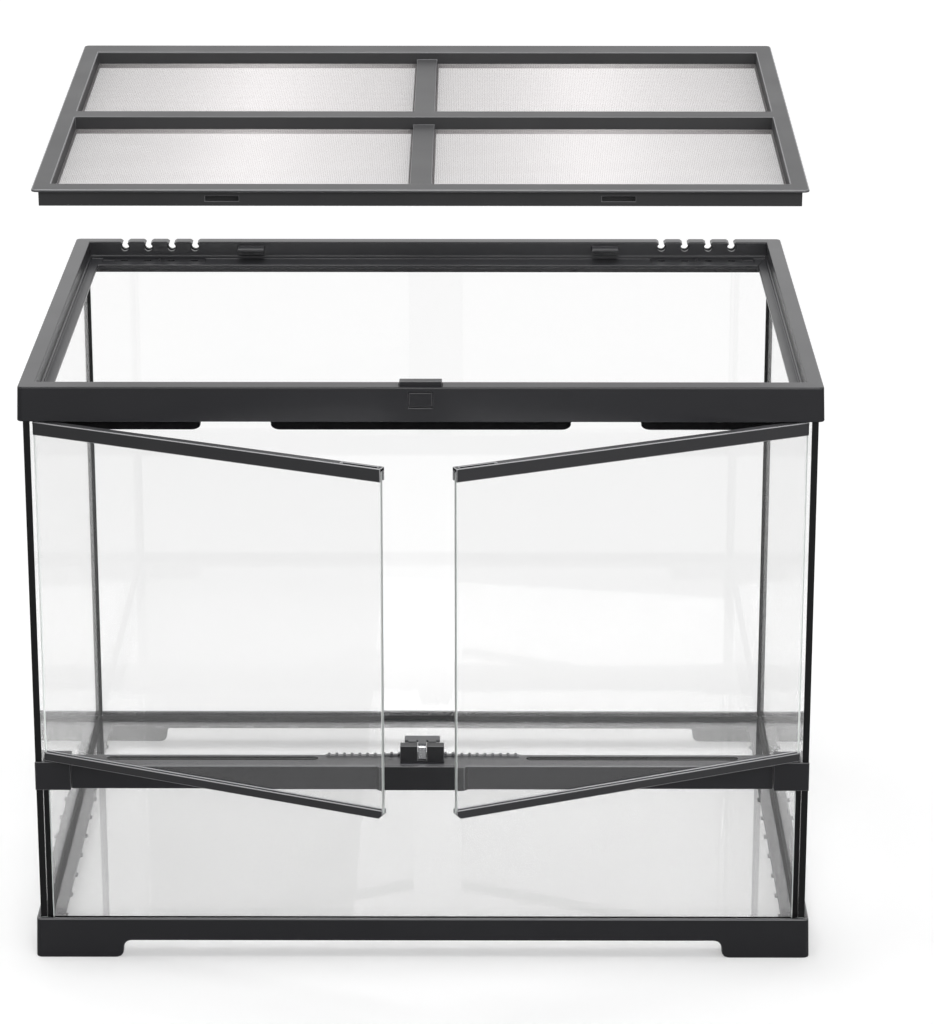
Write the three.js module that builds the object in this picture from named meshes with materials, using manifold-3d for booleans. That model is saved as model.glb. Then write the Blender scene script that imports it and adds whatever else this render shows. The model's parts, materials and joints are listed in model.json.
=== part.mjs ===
// A glass terrarium cabinet, in millimetres, with +Z up and +Y to its rear.
// Glass panes are glued between a moulded base frame and a moulded top frame. Two glass doors hang
// between the top frame and a vent rail, and a screen cover closes the top.
// The doors stand ajar, and the cover is lifted off and held above its seat.

import * as THREE from "three";
import { mergeVertices } from "three/addons/utils/BufferGeometryUtils.js";
import Module from "manifold-3d";

const wasm = await Module();
wasm.setup();

// ---- Driving dimensions ----

// Glass box, measured outside the panes
const glassWidth = 598.4;
const glassDepth = 450;
const glassThickness = 5;
const glassTop = 455; // top edges of the panes, inside the top frame
const frontPaneSetback = 4.2; // behind the front edges of the side panes
const fitGap = 0.3; // clearance between a piece and the one it fits into

// Silicone joints
const rearJointWidth = 2.3;
const frontJointWidth = 4.1;
const beadSize = 3;
const edgeStripThickness = 0.8;

// Base frame
const baseHeight = 32.6;
const baseWall = 3;
const baseFlare = 1; // how far the foot of the wall stands out beyond its top
const ledgeTop = 22;
const ledgeThickness = 2.7;
const ledgeReach = 16.5; // inwards from the outside of the glass
const footLength = 62;
const footHeight = 14.3;
const footRound = 7;
const nubPitch = 40;
const nubLength = 7;
const nubReach = 2.2;
const nubHeight = 1.2;

// Top frame
const frameTop = 466;
const frameHeight = 26.7;
const frameWall = 3;
const frameFlare = 1;
const rimThickness = 3;
const rimSide = 12.4;
const rimFront = 15.8;
const rimRear = 12.5;
const stepDrop = 12; // from the rim down to a small step in its inner wall
const stepWidth = 1.2;
const seatDrop = 14.5; // from the rim down to the seat of the cover
const seatThickness = 3;
const seatSide = 8.4; // how far the seat reaches in from the inner wall
const seatFront = 9;
const seatRear = 22.5;
const cornerRound = 4;
const edgeChamfer = 0.6;

// Door stop lip under the front of the top frame
const stopDrop = 9; // below the frame's lower edge
const stopThickness = 3;
const stopShelf = 2.5;
const stopGap = 1.2; // behind the closed doors
const stopSetIn = 19.5; // of the lip's ends from the sides of the frame
const stopRound = 6; // of the lower corners at its ends
const stopNotchStart = 113;
const stopNotchEnd = 166;

// Rear hooks for the cover
const hookX = 151.5;
const hookWidth = 22.5;
const hookDrop = 3.8;
const hookThickness = 2.5;
const hookGap = 0.4; // from a hook's tip to the skirt of the seated cover

// Cable notches and inlets
const notchSetIn = 42.5; // of the outermost notch from the side of the frame
const notchPitch = 20;
const notchCount = 4;
const notchDiameter = 7;
const notchDrop = 4.8; // from the rim to the middle of the round hole
const notchNeck = 4.3;
const notchMouth = 8;
const inletDiameter = 6.4;
const inletSetIn = 7; // from the rear inner wall to the middle of the inlet holes
const sliderLength = 78;
const sliderWidth = 11;
const sliderThickness = 1.3;
const sliderRecess = 1.5;
const sliderTravel = 10;
const sliderGrip = 1.2;
const sliderGripWidth = 2;
const sliderGripDepth = 6;

// Cover latch
const tabWidth = 32;
const tabHeight = 3.5;
const tabDepth = 8.2;
const tabLead = 0.2; // in front of the latch's body
const buttonWidth = 17;
const buttonHeight = 10.6;
const buttonDrop = 4.4;
const buttonSwingGap = 0.8; // under the button, for its swing
const latchBodyWidth = 28;
const latchBodyDepth = 6;
const latchBodyGap = 1.2; // behind the front wall of the frame, for its swing
const latchBodyHeight = 13;
const latchPinDrop = 5.5;
const latchPinRadius = 1.5;
const latchLugThickness = 3;

// Vent rail, its end blocks and its plate
const railTop = 160.8;
const railHeight = 19.8;
const railDepth = 23;
const railSetback = 3.4; // behind the front of the closed doors
const railSkin = 3.8; // in front of the low front pane
const railRoof = 2.5;
const railRear = 2;
const railGrip = 9; // how far the low front pane stands up into the rail
const slotCombGap = 5; // from the comb to the near end of a slot
const slotBlockGap = 27; // from the far end of a slot to the hinge block
const slotWidth = 8.4;
const toothPitch = 6;
const toothRadius = 1.35;
const toothCount = 25;
const toothDepth = 4;
const combBase = 0.6;
const plateHalfWidth = 32;
const plateChamfer = 3;
const blockTop = 164;
const blockWidth = 27.5;

// Doors
const doorThickness = 7.2;
const doorGlass = 4;
const doorTopRail = 10.4;
const doorBottomRail = 7;
const doorRailWeb = 3;
const doorEndGap = 2; // between a door's hinge end and the side pane
const doorGap = 2.8; // between the closed doors
const doorFloorGap = 1; // between the bottom rail and the hinge block
const doorRoofGap = 0.7;
const doorAjar = 24; // degrees
const doorEndChamfer = 3.2;
const pocketLength = 29;
const pocketWidth = 3.4;
const pocketDepth = 2;
const pocketSetIn = 4;
const hingePinRadius = 1.5;
const hingePinLength = 14; // below the bottom rail
const upperPinReach = 7;
const bushWall = 0.8;
const bushFlange = 0.7;
const bushFlangeWidth = 1;
const bossWall = 2.5; // round the upper bush
const bossRoof = 2;

// Door lock
const lockWidth = 34;
const lockHeight = 13.4;
const lockDepth = 8.5;
const lockDoorGap = 1.5; // behind the closed doors
const lockSlot = 7.2;
const lockBridge = 1.4;
const lockPinRadius = 1.25;
const lockPinHeight = 7.2;
const lockPinSetIn = 4.5; // from the front of the cheeks
const lockPinInset = 1; // of the pin's ends in the cheeks
const leverWebWidth = 6.4;
const leverWebLead = 2.6; // in front of the pin
const leverWebGap = 1; // over the bridge
const leverWebRearGap = 0.5; // inside the backs of the cheeks
const leverRise = 0.6; // over the tops of the cheeks
const leverPlateWidth = 27.5;
const leverPlateDepth = 12.7;
const leverPlateThickness = 2;
const leverNotchWidth = 9.5;
const leverNotchDepth = 3;
const leverEdgeNotch = 3;
const catchWidth = 6;
const catchThickness = 0.8;

// Cover
const coverFlange = 2;
const coverHeight = 14;
const coverWall = 2;
const coverGap = 1.2; // between the flange and the inner wall of the top frame
const coverRearGap = 1.8;
const coverOverhang = 5; // of the flange beyond the skirt, at the front and the sides
const coverRearOverhang = 11;
const coverBorderSide = 13.6;
const coverBorderFront = 16.6;
const coverBorderRear = 22.6;
const crossBarWidth = 17;
const midBarWidth = 16.5;
const midBarDrop = 6.5;
const screenDrop = 10;
const screenThickness = 0.6;
const screenLip = 1.5;
const screenLipBed = 0.5; // how far a lip is sunk in the bars round it
const screenEdge = 4; // the closed edge of a screen, which lies on the lip
const screenGridPitch = 30;
const screenGridBar = 2;
const skirtSlotX = 147.5;
const skirtSlotWidth = 25;
const skirtSlotHeight = 3.9;
const skirtSlotDrop = 6.3;
const coverSeatGap = 0.3;
// The lifted cover is its seated place turned by a small angle about a far line across the front:
// that lifts it clear and raises its rear edge a little more than its front edge.
const coverSwing = 3.2; // degrees
const coverSwingReach = 2642; // from the front edge of the seated cover to that line
const coverSwingHeight = 80; // of that line above the seated cover

// Roundness
const cornerSteps = 4;
const circleSteps = 16;

// ---- Places worked out from the dimensions ----

const paneInnerX = glassWidth / 2 - glassThickness;
const halfDepth = glassDepth / 2;
const frontPaneFace = -halfDepth + frontPaneSetback;
const bottomPaneTop = ledgeTop + fitGap + glassThickness;
const paneFoot = bottomPaneTop + fitGap;
const frameHalfX = glassWidth / 2 + fitGap + frameWall;
const frameHalfY = halfDepth + fitGap + frameWall;
const frameBottom = frameTop - frameHeight;
const channelWidth = glassThickness + 2 * fitGap;
const rimInnerFront = -frameHalfY + rimFront;
const rimInnerRear = frameHalfY - rimRear;
const seatTop = frameTop - seatDrop;
const seatBottom = seatTop - seatThickness;

const hingeX = paneInnerX - doorEndGap - doorThickness / 2;
const hingeY = -frameHalfY + doorThickness / 2;
const doorBack = -frameHalfY + doorThickness;
const doorReach = hingeX - doorGap / 2;
const doorBottom = blockTop + doorFloorGap;
const doorTop = frameBottom - doorRoofGap;

const railFront = -frameHalfY + railSetback;
const railBack = railFront + railDepth;
const railBottom = railTop - railHeight;
const frontPaneTop = railBottom + railGrip;
const blockOuterX = glassWidth / 2 + fitGap;
const blockInnerX = blockOuterX - blockWidth;

// The cover, where it is seated
const coverX = frameHalfX - rimSide - coverGap;
const coverY = [rimInnerFront + coverGap, rimInnerRear - coverRearGap];
const coverTop = seatTop + coverSeatGap + coverHeight;

// ---- Shapes ----

const X = new THREE.Vector3(1, 0, 0);
const Y = new THREE.Vector3(0, 1, 0);
const Z = new THREE.Vector3(0, 0, 1);

function block([x0, x1], [y0, y1], [z0, z1]) {
  const box = new THREE.BoxGeometry(x1 - x0, y1 - y0, z1 - z0);
  return box.translate((x0 + x1) / 2, (y0 + y1) / 2, (z0 + z1) / 2);
}

function outline(points) {
  return new THREE.Shape(points.map(([u, v]) => new THREE.Vector2(u, v)));
}

// Each extrusion takes a shape drawn in the other two axes and the span that it fills.
function extrude(shape, [start, end]) {
  return new THREE.ExtrudeGeometry(shape, { depth: end - start, bevelEnabled: false, curveSegments: 6 });
}

function extrudeAlongX(shapeYZ, span) {
  const turn = new THREE.Matrix4().makeBasis(Y, Z, X);
  return extrude(shapeYZ, span).applyMatrix4(turn).translate(span[0], 0, 0);
}

function extrudeAlongY(shapeXZ, span) {
  const turn = new THREE.Matrix4().makeBasis(X, Z, Y.clone().negate());
  return extrude(shapeXZ, span).applyMatrix4(turn).translate(0, span[1], 0);
}

function extrudeAlongZ(shapeXY, span) {
  return extrude(shapeXY, span).translate(0, 0, span[0]);
}

function rodAlongX(radius, [x0, x1], y, z) {
  const rod = new THREE.CylinderGeometry(radius, radius, x1 - x0, circleSteps);
  return rod.rotateZ(-Math.PI / 2).translate((x0 + x1) / 2, y, z);
}

function rodAlongY(radius, [y0, y1], x, z) {
  const rod = new THREE.CylinderGeometry(radius, radius, y1 - y0, circleSteps);
  return rod.translate(x, (y0 + y1) / 2, z);
}

function rodAlongZ(radius, [z0, z1], x, y) {
  const rod = new THREE.CylinderGeometry(radius, radius, z1 - z0, circleSteps);
  return rod.rotateX(Math.PI / 2).translate(x, y, (z0 + z1) / 2);
}

// Points round a rectangle with rounded corners, seen from above.
function roundedLoop({ x: [x0, x1], y: [y0, y1] }, radius) {
  const corners = [
    [x1 - radius, y1 - radius],
    [x0 + radius, y1 - radius],
    [x0 + radius, y0 + radius],
    [x1 - radius, y0 + radius],
  ];
  return corners.flatMap(([cx, cy], quarter) =>
    Array.from({ length: cornerSteps + 1 }, (_, step) => {
      const angle = (quarter + step / cornerSteps) * (Math.PI / 2);
      return [cx + radius * Math.cos(angle), cy + radius * Math.sin(angle)];
    }),
  );
}

// A closed moulding round a rectangle. Each profile point is its inset from the rectangle at the
// sides, the front and the rear, then its height. The profile climbs its outer side first.
function moulding(rectangle, profile) {
  const {
    x: [x0, x1],
    y: [y0, y1],
  } = rectangle;
  const positions = [];
  for (const [side, front, rear, z] of profile) {
    const inside = { x: [x0 + side, x1 - side], y: [y0 + front, y1 - rear] };
    const radius = Math.max(cornerRound - side, edgeChamfer);
    for (const [x, y] of roundedLoop(inside, radius)) positions.push(x, y, z);
  }
  const around = 4 * (cornerSteps + 1);
  const index = [];
  for (let ring = 0; ring < profile.length; ring += 1) {
    const next = (ring + 1) % profile.length;
    for (let step = 0; step < around; step += 1) {
      const a = ring * around + step;
      const b = ring * around + ((step + 1) % around);
      const c = next * around + ((step + 1) % around);
      const d = next * around + step;
      index.push(a, b, c, a, c, d);
    }
  }
  const geometry = new THREE.BufferGeometry();
  geometry.setAttribute("position", new THREE.Float32BufferAttribute(positions, 3));
  geometry.setIndex(index);
  return geometry;
}

// ---- Joining and cutting ----

function toSolid(geometry) {
  const bare = geometry.clone();
  bare.deleteAttribute("normal");
  bare.deleteAttribute("uv");
  const merged = mergeVertices(bare, 1e-4);
  const vertProperties = merged.getAttribute("position").array;
  const triVerts = new Uint32Array(merged.index.array);
  return new wasm.Manifold(new wasm.Mesh({ numProp: 3, vertProperties, triVerts }));
}

function toGeometry(solid) {
  const { vertProperties, triVerts } = solid.getMesh();
  const geometry = new THREE.BufferGeometry();
  geometry.setAttribute("position", new THREE.BufferAttribute(vertProperties, 3));
  geometry.setIndex(new THREE.BufferAttribute(triVerts, 1));
  return geometry;
}

function join(...pieces) {
  return toGeometry(pieces.map(toSolid).reduce((sum, piece) => sum.add(piece)));
}

function cut(body, ...tools) {
  return toGeometry(tools.map(toSolid).reduce((rest, tool) => rest.subtract(tool), toSolid(body)));
}

// The same shape on the other side of the middle plane. The mirror turns the faces round, and the
// index turns them back.
function mirrored(geometry) {
  const other = toGeometry(toSolid(geometry)).scale(-1, 1, 1);
  const index = other.index.array;
  for (let i = 0; i < index.length; i += 3) [index[i + 1], index[i + 2]] = [index[i + 2], index[i + 1]];
  return other;
}

// ---- Materials ----

function finish(color, roughness, more = {}) {
  return new THREE.MeshStandardMaterial({ color, roughness, metalness: 0, ...more });
}

const blackPlastic = finish(0x34353a, 0.45);
const darkPlastic = finish(0x26262a, 0.5);
const greyPlastic = finish(0x5a5b5f, 0.45);
const silicone = finish(0x141415, 0.35);
const clearGlass = finish(0xeaf2ef, 0.02, { transparent: true, opacity: 0.25 });
const steel = finish(0xb9bcc0, 0.3, { metalness: 1 });
const steelScreen = finish(0xa9abad, 0.4, { metalness: 1 });

// ---- Scene ----

const cabinet = new THREE.Group();

function add(name, geometry, material, parent = cabinet) {
  const mesh = new THREE.Mesh(geometry, material);
  mesh.name = name;
  parent.add(mesh);
}

// A left-hand piece and its mirror image.
function addPair(name, geometry, material) {
  add(`left_${name}`, geometry, material);
  add(`right_${name}`, mirrored(geometry), material);
}

// ---- Base frame ----

function baseFrame() {
  const wallInner = baseWall;
  const reach = baseWall + fitGap + ledgeReach;
  const rectangle = { x: [-frameHalfX, frameHalfX], y: [-frameHalfY, frameHalfY] };
  const ring = (inset, z) => [inset, inset, inset, z];
  const body = moulding(rectangle, [
    ring(-baseFlare, 0),
    ring(0, baseHeight - edgeChamfer),
    ring(edgeChamfer, baseHeight),
    ring(wallInner, baseHeight),
    ring(wallInner, ledgeTop),
    ring(reach, ledgeTop),
    ring(reach, ledgeTop - ledgeThickness),
    ring(wallInner, ledgeTop - ledgeThickness),
    ring(wallInner, 0),
  ]);
  return cut(join(body, ...ledgeNubs(reach)), archAlongY(), archAlongX());
}

// Small nubs along the inner edge of the ledge, which centre the bottom pane's underside.
function ledgeNubs(reach) {
  const edgeX = frameHalfX - reach;
  const edgeY = frameHalfY - reach;
  const height = [ledgeTop - nubHeight - 1, ledgeTop - 1];
  const places = (half) => {
    const count = Math.floor((half - nubLength) / nubPitch);
    return Array.from({ length: 2 * count + 1 }, (_, i) => (i - count) * nubPitch);
  };
  const along = (middle) => [middle - nubLength / 2, middle + nubLength / 2];
  const nubs = [];
  for (const y of places(edgeY)) {
    nubs.push(block([-edgeX - 1, -edgeX + nubReach], along(y), height));
    nubs.push(block([edgeX - nubReach, edgeX + 1], along(y), height));
  }
  for (const x of places(edgeX)) {
    nubs.push(block(along(x), [edgeY - nubReach, edgeY + 1], height));
    nubs.push(block(along(x), [-edgeY - 1, -edgeY + nubReach], height));
  }
  return nubs;
}

// The opening between two feet: its ends are S-curves from the floor up to the skirt's lower edge.
function footArch(half) {
  const foot = half + baseFlare - footLength;
  const rise = Math.min(footRound, footHeight / 2);
  const shape = new THREE.Shape();
  shape.moveTo(-foot, -1);
  shape.lineTo(foot, -1);
  shape.lineTo(foot, 0);
  shape.quadraticCurveTo(foot - rise, 0, foot - rise, footHeight - rise);
  shape.quadraticCurveTo(foot - rise, footHeight, foot - 2 * rise, footHeight);
  shape.lineTo(-foot + 2 * rise, footHeight);
  shape.quadraticCurveTo(-foot + rise, footHeight, -foot + rise, footHeight - rise);
  shape.quadraticCurveTo(-foot + rise, 0, -foot, 0);
  shape.closePath();
  return shape;
}

function archAlongY() {
  const end = frameHalfY + 2 * baseFlare;
  return extrudeAlongY(footArch(frameHalfX), [-end, end]);
}

function archAlongX() {
  const end = frameHalfX + 2 * baseFlare;
  return extrudeAlongX(footArch(frameHalfY), [-end, end]);
}

add("base_frame", baseFrame(), blackPlastic);

// ---- Panes ----

const sidePaneX = [-glassWidth / 2, -paneInnerX];
const paneHeight = [paneFoot, glassTop];
const rearPaneX = paneInnerX - rearJointWidth;
const frontPaneX = paneInnerX - frontJointWidth;
const frontPaneY = [frontPaneFace, frontPaneFace + glassThickness];

add(
  "bottom_pane",
  block(
    [-glassWidth / 2, glassWidth / 2],
    [-halfDepth, halfDepth],
    [ledgeTop + fitGap, bottomPaneTop],
  ),
  clearGlass,
);
addPair("pane", block(sidePaneX, [-halfDepth, halfDepth], paneHeight), clearGlass);
add(
  "rear_pane",
  block([-rearPaneX, rearPaneX], [halfDepth - glassThickness, halfDepth], paneHeight),
  clearGlass,
);
add("front_pane", block([-frontPaneX, frontPaneX], frontPaneY, [paneFoot, frontPaneTop]), clearGlass);

// ---- Silicone joints ----

// A bead in the angle between the bottom pane and the four upright ones.
function bottomSeal() {
  const rectangle = {
    x: [-paneInnerX, paneInnerX],
    y: [frontPaneY[1], halfDepth - glassThickness],
  };
  const ring = (inset, z) => [inset, inset, inset, z];
  return moulding(rectangle, [
    ring(0, bottomPaneTop),
    ring(0, bottomPaneTop + beadSize),
    ring(beadSize, bottomPaneTop),
  ]);
}

const sealHeight = [bottomPaneTop + beadSize + fitGap, frameBottom - fitGap];

// Between a side pane and the rear pane, with a fillet inside.
function rearSeal() {
  const face = halfDepth - glassThickness;
  const profile = outline([
    [-paneInnerX, halfDepth],
    [-paneInnerX, face - beadSize],
    [-rearPaneX + beadSize, face],
    [-rearPaneX, face],
    [-rearPaneX, halfDepth],
  ]);
  return extrudeAlongZ(profile, sealHeight);
}

const edgeStripY = [-halfDepth - edgeStripThickness, -halfDepth];
const edgeStripHeight = [baseHeight + fitGap, frameBottom - fitGap];

add("bottom_seal", bottomSeal(), silicone);
addPair("rear_seal", rearSeal(), silicone);
addPair(
  "front_seal",
  block([-paneInnerX, -frontPaneX], frontPaneY, [sealHeight[0], railBottom - fitGap]),
  silicone,
);
addPair("edge_strip", block(sidePaneX, edgeStripY, edgeStripHeight), silicone);

// ---- Vent rail ----

const combHalf = (toothCount * toothPitch) / 2;

// Seen from its end, the rail is a channel: the low front pane stands in its front groove, and the
// vent slots open into the hollow behind.
function ventRail() {
  const grooveFront = railFront + railSkin;
  const grooveBack = frontPaneY[1] + fitGap;
  const hollowFront = grooveBack + railRear;
  const hollowBack = railBack - railRear;
  const profile = outline([
    [railFront, railBottom],
    [grooveFront, railBottom],
    [grooveFront, frontPaneTop + fitGap],
    [grooveBack, frontPaneTop + fitGap],
    [grooveBack, railBottom],
    [hollowFront, railBottom],
    [hollowFront, railTop - railRoof],
    [hollowBack, railTop - railRoof],
    [hollowBack, railBottom],
    [railBack, railBottom],
    [railBack, railTop],
    [railFront + edgeChamfer, railTop],
    [railFront, railTop - edgeChamfer],
  ]);
  const half = blockInnerX - fitGap;
  const slotStart = combHalf + slotCombGap;
  const slotEnd = blockInnerX - slotBlockGap;
  const slotY = (hollowFront + hollowBack) / 2;
  return cut(
    extrudeAlongX(profile, [-half, half]),
    ventSlot([-slotEnd, -slotStart], slotY),
    ventSlot([slotStart, slotEnd], slotY),
  );
}

// A long slot with round ends through the roof of the rail.
function ventSlot([x0, x1], y) {
  const r = slotWidth / 2;
  const shape = new THREE.Shape();
  shape.moveTo(x0 + r, y - r);
  shape.lineTo(x1 - r, y - r);
  shape.absarc(x1 - r, y, r, -Math.PI / 2, Math.PI / 2, false);
  shape.lineTo(x0 + r, y + r);
  shape.absarc(x0 + r, y, r, Math.PI / 2, (3 * Math.PI) / 2, false);
  return extrudeAlongZ(shape, [railTop - railRoof - 1, railTop + 1]);
}

// A strip with a row of half-round teeth, behind the lock.
function ventComb() {
  const y = [railBack - toothDepth, railBack];
  const z = [railTop, railTop + combBase];
  const strip = block([-combHalf, combHalf], y, z);
  const teeth = [];
  for (let i = 0; i < toothCount; i += 1) {
    const x = -combHalf + (i + 0.5) * toothPitch;
    teeth.push(rodAlongY(toothRadius, y, x, railTop + combBase));
  }
  const under = block(
    [-combHalf - 1, combHalf + 1],
    [y[0] - 1, y[1] + 1],
    [railTop - 2 * toothRadius, railTop],
  );
  return cut(join(strip, ...teeth), under);
}

// A raised plate on the front of the rail, with sloping ends and nothing on its face.
function centrePlate() {
  const profile = outline([
    [-plateHalfWidth - plateChamfer, railFront],
    [-plateHalfWidth, -frameHalfY],
    [plateHalfWidth, -frameHalfY],
    [plateHalfWidth + plateChamfer, railFront],
  ]);
  return extrudeAlongZ(profile, [railBottom, railTop]);
}

add("vent_rail", ventRail(), blackPlastic);
add("vent_comb", ventComb(), greyPlastic);
add("centre_plate", centrePlate(), darkPlastic);

// ---- Hinge blocks and bushes ----

const bushBore = hingePinRadius + fitGap;
const bushRadius = bushBore + bushWall;
const bushSeat = bushRadius + fitGap;
const lowerPinFoot = doorBottom - hingePinLength;
const lowerBushFoot = lowerPinFoot - fitGap;

// The block fills the corner between the rail and the side pane, covers the front edge of that
// pane, and takes the end of the low front pane in a groove.
function hingeBlock() {
  const paneFront = -halfDepth - edgeStripThickness - fitGap;
  const z = [railBottom, blockTop];
  const body = join(
    block([-paneInnerX + fitGap, -blockInnerX], [-frameHalfY, railBack], z),
    block([-blockOuterX, -blockInnerX], [-frameHalfY, paneFront], z),
  );
  const groove = block(
    [-paneInnerX, -blockInnerX + 1],
    [railFront + railSkin, frontPaneY[1] + fitGap],
    [railBottom - 1, frontPaneTop + fitGap],
  );
  return cut(body, groove, rodAlongZ(bushSeat, [lowerBushFoot, blockTop + 1], -hingeX, hingeY));
}

function lowerBush() {
  const flangeRadius = bushRadius + bushFlangeWidth;
  const body = join(
    rodAlongZ(bushRadius, [lowerBushFoot + fitGap, blockTop], -hingeX, hingeY),
    rodAlongZ(flangeRadius, [blockTop, blockTop + bushFlange], -hingeX, hingeY),
  );
  return cut(body, rodAlongZ(bushBore, [lowerBushFoot, blockTop + bushFlange + 1], -hingeX, hingeY));
}

const upperPinTop = doorTop + upperPinReach;
const upperBushTop = upperPinTop + fitGap;

function upperBush() {
  const body = rodAlongZ(bushRadius, [frameBottom, upperBushTop], -hingeX, hingeY);
  return cut(body, rodAlongZ(bushBore, [frameBottom - 1, upperBushTop + 1], -hingeX, hingeY));
}

addPair("hinge_block", hingeBlock(), darkPlastic);
addPair("lower_bush", lowerBush(), greyPlastic);
addPair("upper_bush", upperBush(), greyPlastic);

// ---- Top frame ----

const latchFront = -frameHalfY + frameWall + latchBodyGap;
const latchPinY = latchFront + latchBodyDepth / 2;
const latchPinZ = frameTop - latchPinDrop;
const tabY = [latchFront - tabLead, latchFront - tabLead + tabDepth];
const buttonZ = [frameTop - buttonDrop - buttonHeight, frameTop - buttonDrop];
const notchX = Array.from({ length: notchCount }, (_, i) => frameHalfX - notchSetIn - i * notchPitch);
const sliderY = rimInnerRear - inletSetIn;
const sliderX = (notchX[0] + notchX[notchCount - 1]) / 2;

function topFrame() {
  const rectangle = { x: [-frameHalfX, frameHalfX], y: [-frameHalfY, frameHalfY] };
  const level = (inset, z) => [inset, inset, inset, z];
  // At the rim's inner wall, further in by a given width.
  const wall = (more, z) => [rimSide + more, rimFront + more, rimRear + more, z];
  const seatEdge = (z) => [rimSide + seatSide, rimFront + seatFront, rimRear + seatRear, z];
  const channel = (z) => [frameWall + channelWidth, rimFront - frameWall, frameWall + channelWidth, z];
  const ring = moulding(rectangle, [
    level(-frameFlare, frameBottom),
    level(0, frameTop - edgeChamfer),
    level(edgeChamfer, frameTop),
    wall(-edgeChamfer, frameTop),
    wall(0, frameTop - edgeChamfer),
    wall(0, frameTop - stepDrop),
    wall(stepWidth, frameTop - stepDrop),
    wall(stepWidth, seatTop),
    seatEdge(seatTop),
    seatEdge(seatBottom),
    wall(0, seatBottom),
    wall(0, frameBottom),
    channel(frameBottom),
    channel(frameTop - rimThickness),
    level(frameWall, frameTop - rimThickness),
    level(frameWall, frameBottom),
  ]);
  const hinges = [-1, 1].map((side) => hingeBoss(side));
  const hooks = [-1, 1].map((side) => coverHook(side));
  const lugs = [-1, 1].map((side) => latchLug(side));
  const openings = [
    rodAlongX(latchPinRadius + fitGap, [-tabWidth, tabWidth], latchPinY, latchPinZ),
    ...latchOpenings(),
    ...[-1, 1].flatMap((side) => [hingeBore(side), ...cableNotches(side), ...inletOpenings(side)]),
  ];
  return cut(join(ring, doorStop(), ...hinges, ...hooks, ...lugs), ...openings);
}

// A shelf forward from the inner wall and a lip down from it, which the closed doors rest against.
// Two gaps in the lip let a hand in behind the doors.
function doorStop() {
  const lipFront = doorBack + stopGap;
  const shape = outline([
    [lipFront, frameBottom - stopDrop],
    [lipFront + stopThickness, frameBottom - stopDrop],
    [lipFront + stopThickness, frameBottom],
    [rimInnerFront, frameBottom],
    [rimInnerFront, frameBottom + stopShelf],
    [lipFront, frameBottom + stopShelf],
  ]);
  const lipHalf = frameHalfX - stopSetIn;
  const lip = extrudeAlongX(shape, [-lipHalf, lipHalf]);
  const corners = [-1, 1].map((side) => stopCorner(side));
  return cut(lip, stopNotch(-1), stopNotch(1), ...corners);
}

// What is taken off the lower corner at an end of the lip, to round it.
function stopCorner(side) {
  const end = frameHalfX - stopSetIn;
  const start = end - stopRound;
  const low = frameBottom - stopDrop;
  const shape = new THREE.Shape();
  shape.moveTo(side * start, low);
  shape.quadraticCurveTo(side * end, low, side * end, low + stopRound);
  shape.lineTo(side * (end + 1), low + stopRound);
  shape.lineTo(side * (end + 1), low - 1);
  shape.lineTo(side * start, low - 1);
  return extrudeAlongY(shape, [doorBack, rimInnerFront]);
}

function stopNotch(side) {
  const round = 5;
  const [inner, outer] = [stopNotchStart, stopNotchEnd];
  const low = frameBottom - stopDrop - 1;
  const high = frameBottom;
  const shape = new THREE.Shape();
  shape.moveTo(side * inner, low);
  shape.lineTo(side * inner, high - round);
  shape.quadraticCurveTo(side * inner, high, side * (inner + round), high);
  shape.lineTo(side * (outer - round), high);
  shape.quadraticCurveTo(side * outer, high, side * outer, high - round);
  shape.lineTo(side * outer, low);
  return extrudeAlongY(shape, [doorBack, rimInnerFront]);
}

function hingeBoss(side) {
  const half = bushSeat + bossWall;
  const x = [side * hingeX - half, side * hingeX + half];
  const front = -frameHalfY + frameWall / 2;
  return block(x, [front, hingeY + half], [frameBottom, upperBushTop + bossRoof]);
}

function hingeBore(side) {
  return rodAlongZ(bushSeat, [frameBottom - 1, upperBushTop + fitGap], side * hingeX, hingeY);
}

function coverHook(side) {
  const tip = coverY[1] - coverRearOverhang + hookGap;
  const x = [side * hookX - hookWidth / 2, side * hookX + hookWidth / 2];
  const z = frameTop - hookDrop;
  return block(x, [tip, rimInnerRear + 1], [z - hookThickness, z]);
}

// Keyholes through the rear of the rim: a round hole, a neck and a mouth that widens upwards.
function cableNotches(side) {
  const through = [rimInnerRear - 1, frameHalfY + 2];
  const middle = frameTop - notchDrop;
  return notchX.map((distance) => {
    const x = side * distance;
    const neck = outline([
      [x - notchNeck / 2, middle],
      [x + notchNeck / 2, middle],
      [x + notchNeck / 2, frameTop - notchDrop / 3],
      [x + notchMouth / 2, frameTop],
      [x + notchMouth / 2, frameTop + 1],
      [x - notchMouth / 2, frameTop + 1],
      [x - notchMouth / 2, frameTop],
      [x - notchNeck / 2, frameTop - notchDrop / 3],
    ]);
    return join(rodAlongY(notchDiameter / 2, through, x, middle), extrudeAlongY(neck, through));
  });
}

// The slider's recess in the rear of the seat, and the cable holes through its floor.
function inletOpenings(side) {
  const half = sliderLength / 2 + fitGap;
  const ends = [side * (sliderX - half), side * (sliderX + half + sliderTravel)];
  const recess = block(
    [Math.min(...ends), Math.max(...ends)],
    [sliderY - sliderWidth / 2 - fitGap, sliderY + sliderWidth / 2 + fitGap],
    [seatTop - sliderRecess, seatTop + 1],
  );
  const holes = notchX.map((x) =>
    rodAlongZ(inletDiameter / 2, [seatBottom - 1, seatTop], side * x, sliderY),
  );
  return [recess, ...holes];
}

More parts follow.
